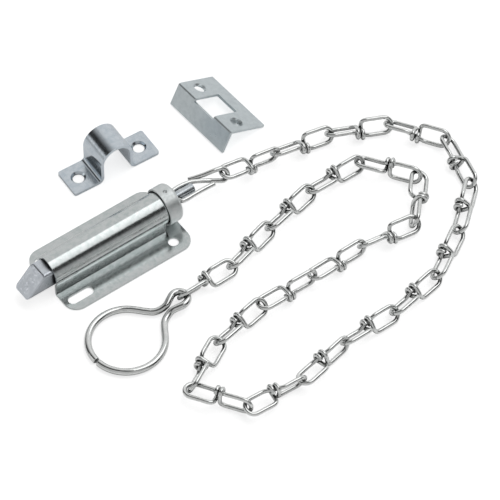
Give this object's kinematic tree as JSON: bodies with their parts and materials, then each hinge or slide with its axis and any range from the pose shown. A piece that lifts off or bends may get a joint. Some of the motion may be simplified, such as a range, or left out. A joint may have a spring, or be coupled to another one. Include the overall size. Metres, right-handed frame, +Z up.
{
  "type": "spring bolt with pull chain",
  "caption": "Spring-loaded surface bolt worked by a hanging double-loop chain and ring, laid out with an angle strike and a half-round strike.",
  "frame": {"origin": "under the middle of the whole laid-out kit, on the surface that it lies on", "axes": "+X along the bolt from its nose to its chain, +Y across it towards the half-round strike, +Z up"},
  "size_m": [0.1956, 0.1576, 0.0186],
  "materials": {
    "plated_sheet": "bright zinc plate over pressed sheet",
    "plated_cap": "satin zinc plate over a drawn cup",
    "plated_bar": "bluish zinc plate over cast or drawn bar",
    "plated_wire": "bright zinc plate over drawn wire",
    "spring_wire": "plain spring steel"
  },
  "bodies": {
    "housing": {"housing": "plated_sheet", "end_cap": "plated_cap", "bolt_spring": "spring_wire"},
    "bolt": {"bolt": "plated_bar", "bolt_stem": "plated_bar"},
    "connecting_link": {"connecting_link": "plated_wire"},
    "chain_link_01": {"chain_link_01": "plated_wire"},
    "chain_link_02": {"chain_link_02": "plated_wire"},
    "chain_link_03": {"chain_link_03": "plated_wire"},
    "chain_link_04": {"chain_link_04": "plated_wire"},
    "chain_link_05": {"chain_link_05": "plated_wire"},
    "chain_link_06": {"chain_link_06": "plated_wire"},
    "chain_link_07": {"chain_link_07": "plated_wire"},
    "chain_link_08": {"chain_link_08": "plated_wire"},
    "chain_link_09": {"chain_link_09": "plated_wire"},
    "chain_link_10": {"chain_link_10": "plated_wire"},
    "chain_link_11": {"chain_link_11": "plated_wire"},
    "chain_link_12": {"chain_link_12": "plated_wire"},
    "chain_link_13": {"chain_link_13": "plated_wire"},
    "chain_link_14": {"chain_link_14": "plated_wire"},
    "chain_link_15": {"chain_link_15": "plated_wire"},
    "chain_link_16": {"chain_link_16": "plated_wire"},
    "chain_link_17": {"chain_link_17": "plated_wire"},
    "chain_link_18": {"chain_link_18": "plated_wire"},
    "chain_link_19": {"chain_link_19": "plated_wire"},
    "chain_link_20": {"chain_link_20": "plated_wire"},
    "chain_link_21": {"chain_link_21": "plated_wire"},
    "chain_link_22": {"chain_link_22": "plated_wire"},
    "chain_link_23": {"chain_link_23": "plated_wire"},
    "pull_ring": {"pull_ring": "plated_wire"},
    "angle_strike": {"angle_strike": "plated_sheet"},
    "half_round_strike": {"half_round_strike": "plated_sheet"}
  },
  "joints": [
    {"name": "bolt_slide", "type": "slide", "parent": "housing", "child": "bolt", "axis": [1, 0, 0], "range_m": [0, 0.013], "stiffness_N_per_m": 300, "springref_m": -0.01, "deforming": ["bolt_spring"]},
    {"name": "connecting_link_lift", "type": "hinge", "parent": "bolt", "child": "connecting_link", "pos_m": [-0.01915, 0.02788, 0.01101], "axis": [0, -1, 0], "range_deg": [0, 16]},
    {"name": "chain_01_level", "type": "hinge", "parent": "connecting_link", "child": "chain_link_01", "pos_m": [0.00555, 0.02758, 0.00876], "axis": [0, 1, 0], "range_deg": [0, 16]},
    {"name": "chain_02_lift", "type": "hinge", "parent": "chain_link_01", "child": "chain_link_02", "pos_m": [0.03192, 0.02574, 0.00516], "axis": [-0.9877, -0.1564, 0], "range_deg": [0, 10]},
    {"name": "chain_03_lift", "type": "hinge", "parent": "chain_link_02", "child": "chain_link_03", "pos_m": [0.05662, 0.02138, 0.0042], "axis": [-0.9986, -0.0523, 0], "range_deg": [0, 20]},
    {"name": "chain_04_lift", "type": "hinge", "parent": "chain_link_03", "child": "chain_link_04", "pos_m": [0.08002, 0.01047, 0.00426], "axis": [-0.9511, 0.309, 0], "range_deg": [0, 20]},
    {"name": "chain_05_lift", "type": "hinge", "parent": "chain_link_04", "child": "chain_link_05", "pos_m": [0.09434, -0.01076, 0.00426], "axis": [-0.6428, 0.766, 0], "range_deg": [0, 20]},
    {"name": "chain_06_lift", "type": "hinge", "parent": "chain_link_05", "child": "chain_link_06", "pos_m": [0.08823, -0.03524, 0.00409], "axis": [0.1045, 0.9945, 0], "range_deg": [0, 17]},
    {"name": "chain_07_lift", "type": "hinge", "parent": "chain_link_06", "child": "chain_link_07", "pos_m": [0.06866, -0.05166, 0.0039], "axis": [0.5, 0.866, 0], "range_deg": [0, 20]},
    {"name": "chain_08_lift", "type": "hinge", "parent": "chain_link_07", "child": "chain_link_08", "pos_m": [0.04653, -0.06496, 0.00394], "axis": [0.7431, 0.6691, 0], "range_deg": [0, 20]},
    {"name": "chain_09_lift", "type": "hinge", "parent": "chain_link_08", "child": "chain_link_09", "pos_m": [0.02109, -0.06945, 0.00394], "axis": [0.8829, 0.4695, 0], "range_deg": [0, 20]},
    {"name": "chain_10_lift", "type": "hinge", "parent": "chain_link_09", "child": "chain_link_10", "pos_m": [-0.0043, -0.06989, 0.00467], "axis": [0.9205, 0.3907, 0], "range_deg": [0, 15]},
    {"name": "chain_11_lift", "type": "hinge", "parent": "chain_link_10", "child": "chain_link_11", "pos_m": [-0.02916, -0.07472, 0.00467], "axis": [0.9563, 0.2924, 0], "range_deg": [0, 12]},
    {"name": "chain_12_lift", "type": "hinge", "parent": "chain_link_11", "child": "chain_link_12", "pos_m": [-0.05497, -0.07337, 0.00475], "axis": [0.9945, 0.1045, 0], "range_deg": [0, 20]},
    {"name": "chain_13_lift", "type": "hinge", "parent": "chain_link_12", "child": "chain_link_13", "pos_m": [-0.06938, -0.05199, 0.00475], "axis": [0.9613, -0.2756, 0], "range_deg": [0, 10]},
    {"name": "chain_14_lift", "type": "hinge", "parent": "chain_link_13", "child": "chain_link_14", "pos_m": [-0.04647, -0.03929, 0.00443], "axis": [0.9986, -0.0523, 0], "range_deg": [0, 15]},
    {"name": "chain_15_lift", "type": "hinge", "parent": "chain_link_14", "child": "chain_link_15", "pos_m": [-0.02025, -0.03467, 0.00488], "axis": [0.9986, -0.0523, 0], "range_deg": [0, 7]},
    {"name": "chain_16_lift", "type": "hinge", "parent": "chain_link_15", "child": "chain_link_16", "pos_m": [0.00585, -0.03513, 0.00488], "axis": [0.9986, -0.0523, 0], "range_deg": [0, 20]},
    {"name": "chain_17_lift", "type": "hinge", "parent": "chain_link_16", "child": "chain_link_17", "pos_m": [0.03097, -0.03469, 0.00462], "axis": [0.9986, -0.0523, 0], "range_deg": [0, 20]},
    {"name": "chain_18_lift", "type": "hinge", "parent": "chain_link_17", "child": "chain_link_18", "pos_m": [0.05532, -0.03811, 0.00443], "axis": [0.9962, 0.0872, 0], "range_deg": [0, 20]},
    {"name": "chain_19_lift", "type": "hinge", "parent": "chain_link_18", "child": "chain_link_19", "pos_m": [0.07233, -0.01987, 0.00455], "axis": [0.8192, 0.5736, 0], "range_deg": [0, 20]},
    {"name": "chain_20_lift", "type": "hinge", "parent": "chain_link_19", "child": "chain_link_20", "pos_m": [0.05767, 0.00106, 0.00455], "axis": [0.0175, 0.9998, 0], "range_deg": [0, 20]},
    {"name": "chain_21_lift", "type": "hinge", "parent": "chain_link_20", "child": "chain_link_21", "pos_m": [0.03152, 0.00152, 0.00423], "axis": [-0.2079, 0.9781, 0], "range_deg": [0, 20]},
    {"name": "chain_22_lift", "type": "hinge", "parent": "chain_link_21", "child": "chain_link_22", "pos_m": [0.00601, -0.00391, 0.00382], "axis": [-0.2756, 0.9613, 0], "range_deg": [0, 20]},
    {"name": "chain_23_lift", "type": "hinge", "parent": "chain_link_22", "child": "chain_link_23", "pos_m": [-0.01922, -0.01114, 0.00441], "axis": [-0.0175, 0.9998, 0], "range_deg": [0, 20]},
    {"name": "pull_ring_lift", "type": "hinge", "parent": "chain_link_23", "child": "pull_ring", "pos_m": [-0.04258, -0.01126, 0.00411], "axis": [-0.2588, 0.9659, 0], "range_deg": [0, 20]},
    {"name": "angle_strike_loose", "type": "slide", "parent": "housing", "child": "angle_strike", "axis": [0, 0, 1], "range_m": [0, 0.03]},
    {"name": "half_round_strike_loose", "type": "slide", "parent": "housing", "child": "half_round_strike", "axis": [0, 0, 1], "range_m": [0, 0.03]}
  ],
  "couplings": [
    {"joint": "chain_01_level", "follows": "connecting_link_lift", "ratio": 1}
  ]
}
